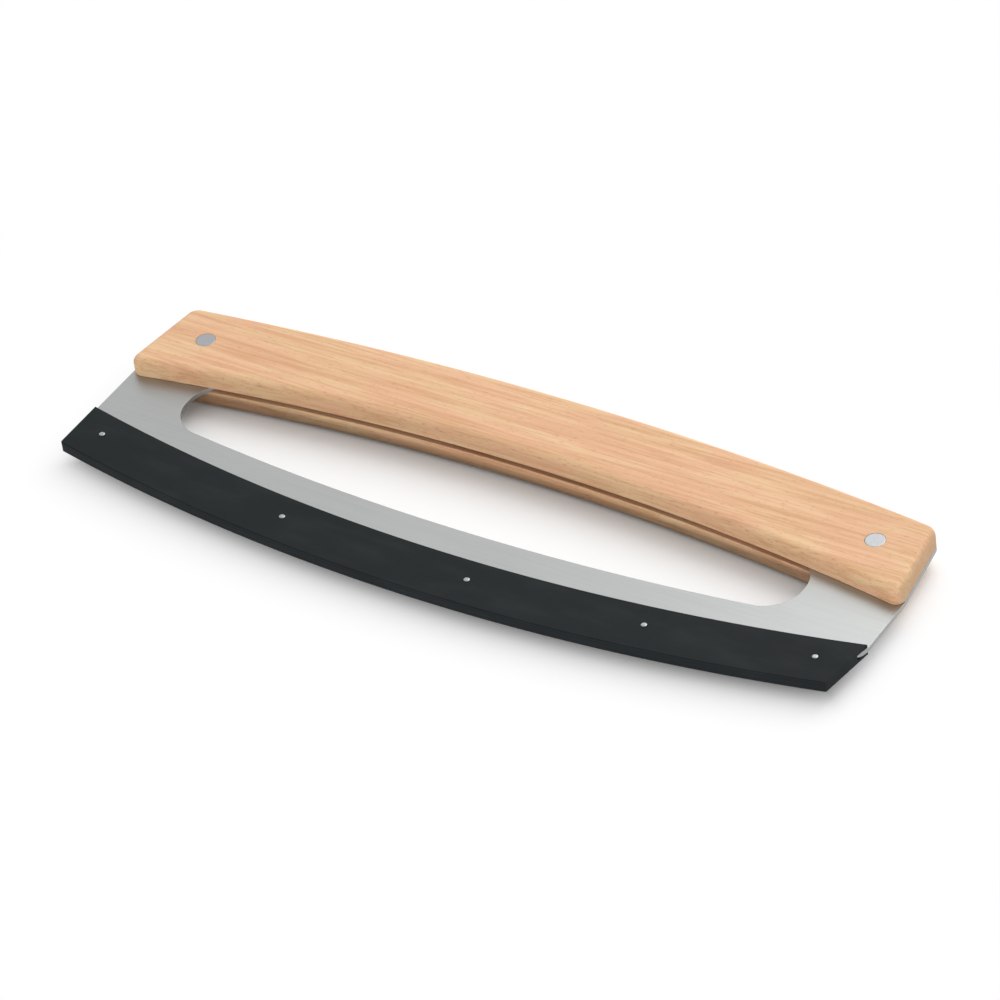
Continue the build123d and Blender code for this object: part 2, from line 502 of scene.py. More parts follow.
class Shader:
    """The node tree of a material or of the world, with the few ways in which nodes are added here."""

    def __init__(self, owner: bpy.types.Material | bpy.types.World) -> None:
        """Empty the owner's tree.

        Args:
            owner: The new material or world.
        """
        owner.use_nodes = True
        self.owner = owner
        self.tree = owner.node_tree
        self.tree.nodes.clear()

    @classmethod
    def material(cls, name: str) -> "Shader":
        """Start a new material, and return its empty tree."""
        return cls(bpy.data.materials.new(name))

    def node(self, kind: str, settings: dict[str, object], inputs: dict) -> bpy.types.Node:
        """Add any node.

        Args:
            kind: Blender's name of the node type.
            settings: Its settings, which are set first.
            inputs: Value or link of each socket, by name or number.

        Returns:
            The node.
        """
        made = self.tree.nodes.new(kind)
        for name, value in settings.items():
            setattr(made, name, value)
        for key, value in inputs.items():
            socket = made.inputs[key]
            source = value.socket if isinstance(value, Varying) else value
            if isinstance(source, Socket):
                self.tree.links.new(source, socket)
            elif socket.type == "RGBA":
                socket.default_value = (*source, 1.0)
            else:
                socket.default_value = source
        return made

    def math(self, operation: str, *values: object) -> Varying:
        """Add one Math node on numbers or varying values, and return its result."""
        made = self.node("ShaderNodeMath", {"operation": operation}, dict(enumerate(values)))
        return Varying(self, made.outputs[0])

    def place(self) -> Socket:
        """Return the point on the surface, in the row frame, in metres."""
        return self.node("ShaderNodeTexCoord", {}, {}).outputs["Object"]

    def normal(self) -> Socket:
        """Return the surface's normal in the row frame."""
        return self.node("ShaderNodeTexCoord", {}, {}).outputs["Normal"]

    def axes(self, vector: Socket) -> tuple[Varying, Varying, Varying]:
        """Split a vector into its x, y and z."""
        parts = self.node("ShaderNodeSeparateXYZ", {}, {0: vector}).outputs
        return Varying(self, parts[0]), Varying(self, parts[1]), Varying(self, parts[2])

    def noise(self, cloud: Cloud, shift: Vector = Vector()) -> Varying:
        """Add a cloudy pattern that is stretched along the axes.

        Args:
            cloud: The pattern.
            shift: Moves the pattern, so that two pieces differ.

        Returns:
            A value from 0 to 1 around 0.5.
        """
        grain = Vector(cloud.spots) * MM
        scale = Vector((1 / grain.x, 1 / grain.y, 1 / grain.z))
        mapped = self.node(
            "ShaderNodeMapping",
            {"vector_type": "POINT"},
            {"Vector": self.place(), "Location": shift, "Scale": scale},
        )
        made = self.node(
            "ShaderNodeTexNoise",
            {"noise_dimensions": "3D"},
            {
                "Vector": mapped.outputs[0],
                "Scale": 1.0,
                "Detail": cloud.detail,
                "Roughness": NOISE_ROUGHNESS,
                "Distortion": cloud.warp,
            },
        )
        return Varying(self, made.outputs[0])

    def distance(self, along: Varying, height: Varying, middle: Vector) -> Varying:
        """Return how far a place is from a middle, seen from above."""
        return ((along - middle.x) ** 2.0 + (height - middle.y) ** 2.0) ** 0.5

    def mix(self, share: object, low: object, high: object) -> Socket:
        """Mix two colours, where the share is how much of the second shows."""
        inputs = dict(zip(MIX_INPUTS, (share, low, high)))
        return self.node("ShaderNodeMix", {"data_type": "RGBA"}, inputs).outputs[MIX_RESULT]

    def bump(self, height: Varying, strength: float, depth: float) -> Socket:
        """Turn a height from 0 to 1 into a normal, with a relief of a depth in metres."""
        inputs = {"Strength": strength, "Distance": depth, "Height": height}
        return self.node("ShaderNodeBump", {}, inputs).outputs[0]

    def surface(self, **inputs: object) -> bpy.types.Material:
        """Finish the material with a Principled shader.

        Args:
            **inputs: Its sockets by name, with an underscore for each space.

        Returns:
            The material.
        """
        named = {name.replace("_", " "): value for name, value in inputs.items()}
        made = self.node("ShaderNodeBsdfPrincipled", {}, named)
        return self.output(made.outputs[0])

    def output(self, shader: Socket) -> bpy.types.Material:
        """Link a shader to the material's surface, and return the material."""
        self.node("ShaderNodeOutputMaterial", {}, {"Surface": shader})
        return self.owner


@dataclass(frozen=True)
class Beech:
    """Oiled beech with lengthwise grain: soft bands, fine streaks and short dark flecks."""

    light: Colour = (0.80, 0.54, 0.31)
    warm: Colour = (0.63, 0.335, 0.17)
    rosy: Colour = (0.80, 0.46, 0.285)
    fleck: Colour = (0.40, 0.21, 0.105)
    end_grain: Colour = (0.47, 0.32, 0.19)
    bands: Cloud = Cloud((120, 6, 6), 3, 0.35, 0.68, 0.4, 0.8)
    streaks: Cloud = Cloud((36, 1.1, 1.1), 4, 0.42, 0.66, 0.5)
    fibres: Cloud = Cloud((9, 0.3, 0.3), 2, 0.3, 0.8, 0.16)
    dashes: Cloud = Cloud((3.6, 0.45, 0.45), 1, 0.62, 0.74, 0.55)
    hues: Cloud = Cloud((42, 9, 9), 2, 0.4, 0.6, 0.85, 0.5)
    end_start: float = 0.45
    end_full: float = 0.95
    end_share: float = 0.6
    streak_height: float = 0.5
    fibre_height: float = 0.5
    fleck_depth: float = 0.4
    roughness: float = 0.52
    streak_roughness: float = 0.1
    end_roughness: float = 0.15
    specular: float = 0.35
    bump: float = 0.35
    relief: float = 0.03 * MM

    def material(self, name: str, shift: float) -> bpy.types.Material:
        """Build the material.

        Args:
            name: Name of the material.
            shift: Moves the grain, so that the two scales come from different wood.

        Returns:
            The material.
        """
        shader = Shader.material(name)
        move = Vector((shift, 2 * shift, 3 * shift))
        bands = shader.noise(self.bands, move)
        streaks = shader.noise(self.streaks, move)
        fibres = shader.noise(self.fibres, move)
        flecks = self.dashes.eased(shader.noise(self.dashes, move))
        across, _, _ = shader.axes(shader.normal())
        ends = abs(across).ramp(self.end_start, self.end_full)
        hues = shader.noise(self.hues, -move)
        tone = self.bands.shown(bands) + self.streaks.shown(streaks) + self.fibres.shown(fibres)
        ground = shader.mix(self.hues.shown(hues), self.light, self.rosy)
        wood = shader.mix(tone, ground, self.warm)
        flecked = shader.mix(flecks * self.dashes.share, wood, self.fleck)
        colour = shader.mix(ends * self.end_share, flecked, self.end_grain)
        grain = streaks * self.streak_height + fibres * self.fibre_height
        return shader.surface(
            Base_Color=colour,
            Roughness=self.roughness + streaks * self.streak_roughness + ends * self.end_roughness,
            Specular_IOR_Level=self.specular,
            Normal=shader.bump(grain - flecks * self.fleck_depth, self.bump, self.relief),
        )


@dataclass(frozen=True)
class SatinSteel:
    """Stainless steel, brushed along the blade, with a ground bevel that is polished across its edge."""

    face: Colour = (0.40, 0.41, 0.405)
    worn: Colour = (0.33, 0.34, 0.34)
    bevel: Colour = (0.45, 0.46, 0.46)
    brushed: Cloud = Cloud((34, 0.16, 0.16), 3, 0.3, 0.7, 0.35)
    honed: Cloud = Cloud((0.14, 14, 14), 2)
    clouds: Cloud = Cloud((70, 22, 22), 2, 0.3, 0.7, 0.25)
    bevel_share: float = 0.8
    bevel_blur: float = 0.1 * MM
    roughness: float = 0.34
    line_roughness: float = 0.12
    bevel_polish: float = 0.1
    bump: float = 0.3
    relief: float = 0.01 * MM

    def material(self, name: str, edge_centre: Vector, bevel_radius: float) -> bpy.types.Material:
        """Build the material.

        Args:
            name: Name of the material.
            edge_centre: Centre of the cutting edge's arc.
            bevel_radius: Radius at which the ground bevel starts.

        Returns:
            The material.
        """
        shader = Shader.material(name)
        along, height, _ = shader.axes(shader.place())
        from_centre = shader.distance(along, height, edge_centre)
        ground = from_centre.ramp(bevel_radius - self.bevel_blur, bevel_radius + self.bevel_blur)
        brushed = shader.noise(self.brushed)
        lines = brushed + ground * (shader.noise(self.honed) - brushed)
        wear = self.brushed.shown(lines) + self.clouds.shown(shader.noise(self.clouds))
        face = shader.mix(wear, self.face, self.worn)
        return shader.surface(
            Base_Color=shader.mix(ground * self.bevel_share, face, self.bevel),
            Metallic=1.0,
            Roughness=self.roughness + lines * self.line_roughness - ground * self.bevel_polish,
            Normal=shader.bump(lines, self.bump, self.relief),
        )


@dataclass(frozen=True)
class RivetMetal:
    """Pale satin rivet metal with fine turning rings."""

    bright: Colour = (0.385, 0.395, 0.41)
    dull: Colour = (0.30, 0.31, 0.32)
    scuffs: Cloud = Cloud((0.9, 0.25, 0.9), 3, 0.3, 0.75)
    ring_width: float = 0.35 * MM
    ring_share: float = 0.12
    roughness: float = 0.28
    wear_roughness: float = 0.14
    bump: float = 0.25
    relief: float = 0.01 * MM

    def material(self, name: str, middle: Vector) -> bpy.types.Material:
        """Build the material.

        Args:
            name: Name of the material.
            middle: Middle of the rings on the right, which those on the left mirror.

        Returns:
            The material.
        """
        shader = Shader.material(name)
        along, height, _ = shader.axes(shader.place())
        radius = shader.distance(abs(along), height, middle)
        rings = shader.math("SINE", radius * (2 * math.pi / self.ring_width))
        wear = rings * self.ring_share + shader.noise(self.scuffs)
        return shader.surface(
            Base_Color=shader.mix(self.scuffs.eased(wear), self.bright, self.dull),
            Metallic=1.0,
            Roughness=self.roughness + wear * self.wear_roughness,
            Normal=shader.bump(wear, self.bump, self.relief),
        )


@dataclass(frozen=True)
class GuardPlastic:
    """Charcoal plastic with a fine moulded grain and faint rubbed patches."""

    deep: Colour = (0.006, 0.009, 0.0105)
    rubbed: Colour = (0.015, 0.019, 0.021)
    pebbles: Cloud = Cloud((0.45, 0.45, 0.45), 2, 0.4, 0.8, 0.3)
    patches: Cloud = Cloud((26, 9, 9), 3, 0.4, 0.75, 0.5)
    roughness: float = 0.6
    pebble_roughness: float = 0.12
    patch_polish: float = 0.08
    specular: float = 0.15
    bump: float = 0.4
    relief: float = 0.04 * MM

    def material(self, name: str) -> bpy.types.Material:
        """Build the material.

        Args:
            name: Name of the material.

        Returns:
            The material.
        """
        shader = Shader.material(name)
        pebbles = shader.noise(self.pebbles)
        patches = shader.noise(self.patches)
        tone = self.patches.shown(patches) + self.pebbles.shown(pebbles)
        return shader.surface(
            Base_Color=shader.mix(tone, self.deep, self.rubbed),
            Roughness=self.roughness + pebbles * self.pebble_roughness - patches * self.patch_polish,
            Specular_IOR_Level=self.specular,
            Normal=shader.bump(pebbles, self.bump, self.relief),
        )


@dataclass
class Handle:
    """Two arched beech scales, of which the back one has ends that slope in."""

    length: float = 347 * MM
    width: float = 35 * MM
    thickness: float = 18 * MM
    arch_radius: float = 1000 * MM
    back_radius: float = 1350 * MM
    end_lean: float = 5.5 * MM
    back_end_slope: float = 6 * MM
    palm_reach: float = 3.84 * MM
    finger_reach: float = 5.5 * MM
    edge_radius: float = 3.5 * MM
    seam_radius: float = 0.3 * MM
    arc_steps: int = 24
    corner_segments: int = 8
    edge_segments: int = 6
    seam_segments: int = 2
    back_grain_shift: float = 7.3

    def __post_init__(self) -> None:
        """Read from the frame where the handle stands."""
        low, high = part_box("handle_front_scale")
        plate_low, plate_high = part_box("blade_plate")
        self.finger_y = high.y - self.width
        self.plane_z = (plate_low.z + plate_high.z) / 2
        self.inner_gap = low.z - self.plane_z
        self.half = self.length / 2
        self.back_half = self.half - self.end_lean
        self.finger_corner_y = -arc_drop(self.arch_radius, self.half)
        self.palm_corner_y = self.width - arc_drop(self.back_radius, self.back_half)

    def at(self, x: float, y: float, z: float = 0.0) -> Vector:
        """Return a place, measured from the middle of the finger side, in the blade's middle plane."""
        return Vector((x, self.finger_y + y, self.plane_z + z))

    def square_ends(self, half: float) -> list[End]:
        """Return a point and the outward direction of two square ends, each half a length away."""
        return [(self.at(end * half, 0), Vector((end, 0, 0))) for end in ENDS]

    def outline(self, name: str, z: float) -> Piece:
        """Draw the handle's outline as a flat face with sharp corners.

        Args:
            name: Name of the piece.
            z: Height over the blade's middle plane.

        Returns:
            The face, in edit mode.
        """
        low, high = self.finger_corner_y, self.palm_corner_y
        arch_centre = self.at(0, -self.arch_radius, z)
        back_centre = self.at(0, self.width - self.back_radius, z)
        piece = Piece.point(name, self.at(-self.half, low, z))
        piece.arc_to(self.at(self.half, low, z), arch_centre, self.arc_steps)
        piece.line_to(self.at(self.back_half, high, z))
        piece.arc_to(self.at(-self.back_half, high, z), back_centre, self.arc_steps)
        piece.fill()
        return piece

    def round_uprights(self, piece: Piece) -> None:
        """Round the four edges that run between the inner and the outer face.

        Args:
            piece: The scale.
        """
        middle_y = self.at(0, (self.finger_corner_y + self.palm_corner_y) / 2).y
        finger_side = (self.half, False, self.finger_reach)
        palm_side = (self.back_half, True, self.palm_reach)
        for half, upper, reach in (finger_side, palm_side):
            inside = half - self.back_end_slope
            piece.select(
                Element.EDGES,
                lambda place, along: abs(along.z) > NEAR
                and abs(place.x) > inside
                and (place.y > middle_y) == upper,
            )
            piece.round_edges(reach, self.corner_segments)

    def slope_ends(self, piece: Piece, inner_z: float) -> None:
        """Saw off the back scale's ends, so that they slope in from the blade to its outer face.

        Args:
            piece: The back scale.
            inner_z: Height of its inner face over the blade's middle plane.
        """
        depth = self.thickness / 2 - self.inner_gap
        rise = self.palm_corner_y - self.finger_corner_y
        for end in ENDS:
            level = Vector((end * rise, self.end_lean, 0)).normalized() * depth
            outwards = level - Vector((0, 0, self.back_end_slope))
            piece.cut_off(self.at(end * self.half, self.finger_corner_y, inner_z), outwards)

    def scale(self, name: str, side: Side, rivets: "HandleRivets") -> Piece:
        """Model one scale.

        Args:
            name: Name of the piece.
            side: Side of the blade that it lies on.
            rivets: The rivets whose holes it has.

        Returns:
            The scale.
        """
        inner_z = side.value * self.inner_gap
        outer_z = side.value * self.thickness / 2
        piece = self.outline(name, inner_z)
        piece.select_all()
        piece.extrude(outer_z - inner_z)
        piece.face_outwards()
        if side is Side.BACK:
            self.slope_ends(piece, inner_z)
        self.round_uprights(piece)
        piece.select_level(Element.EDGES, self.plane_z + outer_z)
        piece.round_edges(self.edge_radius, self.edge_segments)
        piece.select_level(Element.EDGES, self.plane_z + inner_z)
        piece.round_edges(self.seam_radius, self.seam_segments)
        for radius, depth in rivets.holes():
            piece.cut_out(rivets.drills(radius, depth, side))
        return piece

    def build(self, rivets: "HandleRivets") -> None:
        """Build both scales.

        Args:
            rivets: The rivets that hold them.
        """
        for side, label, shift in (
            (Side.FRONT, "front", 0.0),
            (Side.BACK, "back", self.back_grain_shift),
        ):
            piece = self.scale(f"beech_scale_{label}", side, rivets)
            wood = Beech().material(f"oiled_beech_{label}", shift)
            Dressing(wood, Slot.BEECH, Body.KNIFE).finish(piece, f"handle_{label}_scale")


@dataclass
class HandleRivets:
    """Two-piece rivets: studs from the front and tubes from the back, with flush heads."""

    handle: Handle
    place_x: float = 150.7 * MM
    head_diameter: float = 8 * MM
    head_height: float = 1.6 * MM
    tube_diameter: float = 5 * MM
    stud_diameter: float = 3.4 * MM
    stud_length: float = 12 * MM
    end_gap: float = 0.4 * MM
    fit: float = 0.05 * MM
    rim_radius: float = 0.2 * MM
    overrun: float = 2 * MM
    through: float = 30 * MM
    sides: int = 64
    rim_segments: int = 3
    tip_segments: int = 2

    def __post_init__(self) -> None:
        """Work out the height halfway between the handle's long sides."""
        palm_y = self.handle.width - arc_drop(self.handle.back_radius, self.place_x)
        self.place_y = (palm_y - arc_drop(self.handle.arch_radius, self.place_x)) / 2

    def holes(self) -> tuple[tuple[float, float], tuple[float, float]]:
        """Return radius and depth of the two drillings, from the handle's face down."""
        shank = (self.tube_diameter / 2 + self.fit, self.through)
        return shank, (self.head_diameter / 2 + self.fit, self.head_height)

    def drills(self, radius: float, depth: float, side: Side) -> Piece:
        """Make the pair of cylinders that cut one size of hole.

        Args:
            radius: Radius of the holes.
            depth: How deep they go from the handle's face.
            side: Face that they start from.

        Returns:
            The pair, in edit mode.
        """
        middle_z = side.value * (self.handle.thickness / 2 + self.overrun / 2 - depth / 2)
        pair = []
        for end in ENDS:
            place = self.handle.at(end * self.place_x, self.place_y, middle_z)
            pair.append(Piece.rod("drill", place, radius, depth + self.overrun, self.sides))
            pair[-1].close_edit()
        pair[0].absorb(pair[1:])
        pair[0].open_edit()
        return pair[0]

    def rivet(self, side: Side) -> Piece:
        """Model the right-hand stud or socket.

        Args:
            side: The front has the stud, and the back has the socket.

        Returns:
            The rivet, in edit mode.
        """
        up = side.value
        outer_z = up * self.handle.thickness / 2
        place = self.handle.at(self.place_x, self.place_y, outer_z - up * self.head_height / 2)
        piece = Piece.rod("rivet", place, self.head_diameter / 2, self.head_height, self.sides)
        top = self.handle.plane_z + outer_z
        seat = top - up * self.head_height
        piece.select_level(Element.EDGES, top)
        piece.round_edges(self.rim_radius, self.rim_segments)
        piece.select(Element.FACES, lambda _, normal: up * normal.z > ALONG)
        piece.inset(self.rim_radius)
        piece.select_level(Element.FACES, seat)
        if side is Side.FRONT:
            piece.inset((self.head_diameter - self.stud_diameter) / 2)
            piece.extrude(-self.stud_length)
            piece.select_level(Element.EDGES, seat - self.stud_length)
            piece.round_edges(self.rim_radius, self.tip_segments)
        else:
            reach = 2 * (self.handle.thickness / 2 - self.head_height) - self.end_gap
            piece.inset((self.head_diameter - self.tube_diameter) / 2)
            piece.extrude(reach)
            piece.inset((self.tube_diameter - self.stud_diameter) / 2 - self.fit)
            piece.extrude(-reach)
        return piece

    def build(self) -> None:
        """Build the studs and the sockets."""
        middle = self.handle.at(self.place_x, self.place_y)
        dressing = Dressing(RivetMetal().material("satin_rivet", middle), Slot.RIVET, Body.KNIFE)
        for side, label in ((Side.FRONT, "studs"), (Side.BACK, "sockets")):
            piece = self.rivet(side)
            piece.object.name = f"handle_rivet_{label}_dressed"
            piece.absorb([piece.copy_to(Vector((-2 * self.place_x, 0, 0)))])
            dressing.finish(piece, f"handle_rivet_{label}")


@dataclass(frozen=True)
class Corner:
    """A rounded corner between a flat end and a rim that is an arc about the cutting edge's centre."""

    centre: Vector
    rim: float
    radius: float
    cuts: int

    def trim(self, piece: Piece, ends: list[End]) -> None:
        """Saw off a piece's ends, and round each corner in the plane of the blade with a few flat cuts.

        Args:
            piece: The blade, a layer of its guard or a cutter.
            ends: A point and the outward direction, of length 1, of each end.
        """
        for place, outwards in ends:
            piece.cut_off(place, outwards)
            reach = (place - self.centre).dot(outwards) - self.radius
            down = Vector((0, 0, 1)).cross(outwards)
            down *= math.copysign(1, -down.y)
            depth = math.sqrt((self.rim - self.radius) ** 2 - reach**2)
            spot = self.centre + outwards * reach + down * depth
            last = (spot - self.centre).angle(outwards)
            for number in range(self.cuts):
                angle = last * (number + 0.5) / self.cuts
                direction = outwards * math.cos(angle) + down * math.sin(angle)
                piece.cut_off(spot + direction * self.radius, direction)


@dataclass
class Blade:
    """One steel plate: a curved blade with a finger opening, and the tang between the scales."""

    handle: Handle
    rivets: HandleRivets
    thickness: float = 2 * MM
    end_inset: float = 0.5 * MM
    depth: float = 67.2 * MM
    edge_radius: float = 800 * MM
    corner_radius: float = 14 * MM
    corner_cuts: int = 14
    bevel_height: float = 5 * MM
    edge_land: float = 0.3 * MM
    rim_tolerance: float = 0.1 * MM
    opening_offset: float = -3.5 * MM
    opening_half: float = 138.5 * MM
    opening_bow_radius: float = 1000 * MM
    opening_depth: float = 43.5 * MM
    opening_recess: float = 4 * MM
    opening_reach: float = 13 * MM
    opening_segments: int = 14
    cutter_height: float = 8 * MM
    softening: float = 0.18 * MM
    softening_segments: int = 2
    softening_angle: float = 35
    smooth_angle: float = 30
    arc_steps: int = 48
    opening_steps: int = 20

    def __post_init__(self) -> None:
        """Work out the cutting edge's centre, where the bevel starts and where the ends are."""
        self.centre_y = self.edge_radius - self.depth
        self.centre = self.handle.at(0, self.centre_y)
        self.bevel_top = self.edge_radius - self.bevel_height
        self.end_x = self.handle.half - self.end_inset

    def blank(self) -> Piece:
        """Model the blade and its tang, with the ground edge.

        Returns:
            The blank, in edit mode.
        """
        handle, half, z = self.handle, self.handle.half, -self.thickness / 2
        low_y = self.centre_y - math.sqrt(self.bevel_top**2 - half**2)
        palm_half, palm_y = handle.back_half, handle.palm_corner_y
        back_centre = handle.at(0, handle.width - handle.back_radius, z)
        piece = Piece.point("blade_plate_dressed", handle.at(-half, low_y, z))
        piece.arc_to(handle.at(half, low_y, z), handle.at(0, self.centre_y, z), self.arc_steps)
        piece.line_to(handle.at(half, handle.finger_corner_y, z))
        piece.line_to(handle.at(palm_half, palm_y, z))
        piece.arc_to(handle.at(-palm_half, palm_y, z), back_centre, handle.arc_steps)
        piece.line_to(handle.at(-half, handle.finger_corner_y, z))
        piece.fill()
        corners = [handle.at(end * palm_half, palm_y, z) for end in ENDS]
        piece.select(
            Element.VERTICES,
            lambda place, _: min((place - corner).length for corner in corners) < TINY,
        )
        piece.round_corners(handle.palm_reach, handle.corner_segments)
        piece.select_all()
        piece.extrude(self.thickness)
        piece.face_outwards()
        rim = self.bevel_top - self.rim_tolerance
        piece.select(
            Element.FACES,
            lambda place, normal: normal.y < -NEAR and (place - self.centre).length > rim,
        )
        piece.extrude()
        piece.grow(self.edge_radius / self.bevel_top, self.edge_land / self.thickness, self.centre)
        corner = Corner(self.centre, self.edge_radius, self.corner_radius, self.corner_cuts)
        corner.trim(piece, handle.square_ends(self.end_x))
        return piece

    def opening(self) -> Piece:
        """Model the solid that cuts the finger opening.

        Returns:
            The cutter, in edit mode.
        """
        at, middle, half = self.handle.at, self.opening_offset, self.opening_half
        z = -self.cutter_height / 2
        bow = arc_drop(self.opening_bow_radius, half)
        low, high = bow - self.opening_depth, self.opening_recess - bow
        low_centre = at(middle, self.opening_bow_radius - self.opening_depth, z)
        high_centre = at(middle, self.opening_recess - self.opening_bow_radius, z)
        piece = Piece.point("opening_cutter", at(middle - half, low, z))
        piece.arc_to(at(middle + half, low, z), low_centre, self.opening_steps)
        piece.line_to(at(middle + half, high, z))
        piece.arc_to(at(middle - half, high, z), high_centre, self.opening_steps)
        piece.fill()
        piece.select(Element.VERTICES, lambda place, _: abs(place.x - middle) > half - TINY)
        piece.round_corners(self.opening_reach, self.opening_segments)
        piece.select_all()
        piece.extrude(self.cutter_height)
        return piece

    def build(self) -> None:
        """Build the plate."""
        piece = self.blank()
        piece.face_outwards()
        piece.cut_out(self.opening())
        radius, depth = self.rivets.holes()[0]
        piece.cut_out(self.rivets.drills(radius, depth, Side.FRONT))
        piece.open_edit()
        piece.tidy_flats()
        piece.modifier(
            "BEVEL",
            width=self.softening,
            segments=self.softening_segments,
            limit_method="ANGLE",
            angle_limit=math.radians(self.softening_angle),
            use_clamp_overlap=True,
        )
        steel = SatinSteel().material("satin_steel", self.centre, self.bevel_top)
        dressing = Dressing(steel, Slot.STEEL, Body.KNIFE, self.smooth_angle)
        dressing.finish(piece, "blade_plate")


@dataclass
class Guard:
    """Two charcoal strips over a spacer, riveted along the cutting edge."""

    blade: Blade
    overlap: float = 9.2 * MM
    height: float = 23.7 * MM
    strip_thickness: float = 1.3 * MM
    grip_gap: float = 0.05 * MM
    edge_gap: float = 0.3 * MM
    horn_height: float = 3.5 * MM
    corner_radius: float = 1 * MM
    corner_cuts: int = 4
    right_end_inset: float = 0.5 * MM
    right_end_lean: float = 3.6 * MM
    rounding: float = 0.45 * MM
    rounding_segments: int = 4
    seam_rounding: float = 0.12 * MM
    seam_segments: int = 2
    rivet_shares: tuple[float, ...] = (-0.928, -0.388, 0.103, 0.532, 0.916)
    rivet_shank: float = 1.6 * MM
    rivet_head: float = 2.4 * MM
    rivet_head_height: float = 0.4 * MM
    rivet_rim_share: float = 0.45
    rivet_dome_shares: tuple[tuple[float, float], ...] = ((0.35, 0.3), (0.6, 0.17), (0.5, 0.08))
    rivet_sides: int = 32
    arc_steps: int = 60
    sweep_margin: float = 0.01

    def __post_init__(self) -> None:
        """Work out the guard's radii about the cutting edge's centre, and half its slot."""
        self.top = self.blade.edge_radius - self.overlap
        self.rim = self.top + self.height
        self.horn_top = self.blade.edge_radius - self.horn_height
        self.slot_half = self.blade.thickness / 2 + self.grip_gap

    def layer(self, name: str, top: float, thick: float, z: float) -> Piece:
        """Sweep one layer of the guard about the cutting edge's centre.

        Args:
            name: Name of the piece.
            top: Radius of the layer's upper edge.
            thick: Its thickness.
            z: Height of its middle over the blade's middle plane.

        Returns:
            The layer, in edit mode.
        """
        blade = self.blade
        place = blade.handle.at(0, blade.centre_y - (top + self.rim) / 2, z)
        piece = Piece.card(name, place, self.rim - top, thick)
        self.round_section(piece, thick, z)
        self.sweep(piece, blade.end_x / top)
        corner = Corner(blade.centre, self.rim, self.corner_radius, self.corner_cuts)
        corner.trim(piece, self.ends())
        return piece

    def round_section(self, piece: Piece, thick: float, z: float) -> None:
        """Round the corners of a layer's section: widely outside the guard and slightly at its seams.

        Args:
            piece: The section.
            thick: Its thickness.
            z: Height of its middle over the blade's middle plane.
        """
        if z:
            middle, reach = self.blade.handle.plane_z + z, math.copysign(thick / 2, z)
            piece.select_level(Element.VERTICES, middle + reach)
            piece.round_corners(self.rounding, self.rounding_segments)
            piece.select_level(Element.VERTICES, middle - reach)
        piece.round_corners(self.seam_rounding, self.seam_segments)

    def sweep(self, piece: Piece, half_sine: float) -> None:
        """Sweep a section in the middle of the guard out to both sides, a little too far.

        Args:
            piece: The section in edit mode.
            half_sine: Sine of the turn to each side.
        """
        half_turn = math.asin(half_sine) + self.sweep_margin
        piece.select_all()
        piece.turn(self.blade.centre, -half_turn)
        piece.select_all()
        piece.spin(self.blade.centre, 2 * half_turn, self.arc_steps)
        piece.face_outwards()

    def ends(self) -> list[End]:
        """Place the guard's ends: square on the left, and leaning in towards the rim on the right.

        Returns:
            A point and the outward direction of each end.
        """
        blade = self.blade
        right_x = blade.end_x - self.right_end_inset
        right_y = blade.centre_y - math.sqrt(self.top**2 - right_x**2)
        leaning = Vector((self.height, -self.right_end_lean, 0)).normalized()
        return [blade.handle.square_ends(blade.end_x)[0], (blade.handle.at(right_x, right_y), leaning)]

    def blade_room(self) -> Piece:
        """Model the solid that clears the spacer of the blade's edge and its rounded corners.

        Returns:
            The cutter, in edit mode.
        """
        blade = self.blade
        low, high = blade.edge_radius + self.edge_gap, self.horn_top - self.horn_height
        half = blade.end_x + self.edge_gap
        place = blade.handle.at(0, blade.centre_y - (low + high) / 2)
        piece = Piece.card("blade_room", place, low - high, self.height)
        self.sweep(piece, half / high)
        corner = Corner(blade.centre, low, blade.corner_radius + self.edge_gap, blade.corner_cuts)
        corner.trim(piece, blade.handle.square_ends(half))
        return piece

    def rivet_places(self) -> list[Vector]:
        """Place the rivets on a ring just outside the cutting edge.

        Returns:
            The rivets' middles.
        """
        ring = self.blade.edge_radius + self.edge_gap + self.rivet_head / 2
        places = []
        for share in self.rivet_shares:
            x = share * self.blade.end_x
            places.append(self.blade.handle.at(x, self.blade.centre_y - math.sqrt(ring**2 - x**2)))
        return places

    def rivet(self, place: Vector, thick: float) -> Piece:
        """Model one rivet: a shank with a low domed head on each face.

        Args:
            place: Its middle.
            thick: Thickness of the guard.

        Returns:
            The rivet, in edit mode.
        """
        piece = Piece.rod("guard_rivet", place, self.rivet_shank / 2, thick, self.rivet_sides)
        rim = (self.rivet_head - self.rivet_shank) / 2
        for up in ENDS:
            face_z = place.z + up * thick / 2
            piece.select_level(Element.FACES, face_z)
            piece.extrude()
            piece.grow(self.rivet_head / self.rivet_shank, 1, Vector((place.x, place.y, face_z)))
            piece.extrude(up * self.rivet_head_height * self.rivet_rim_share)
            for width, rise in self.rivet_dome_shares:
                piece.inset(rim * width, self.rivet_head_height * rise)
        return piece

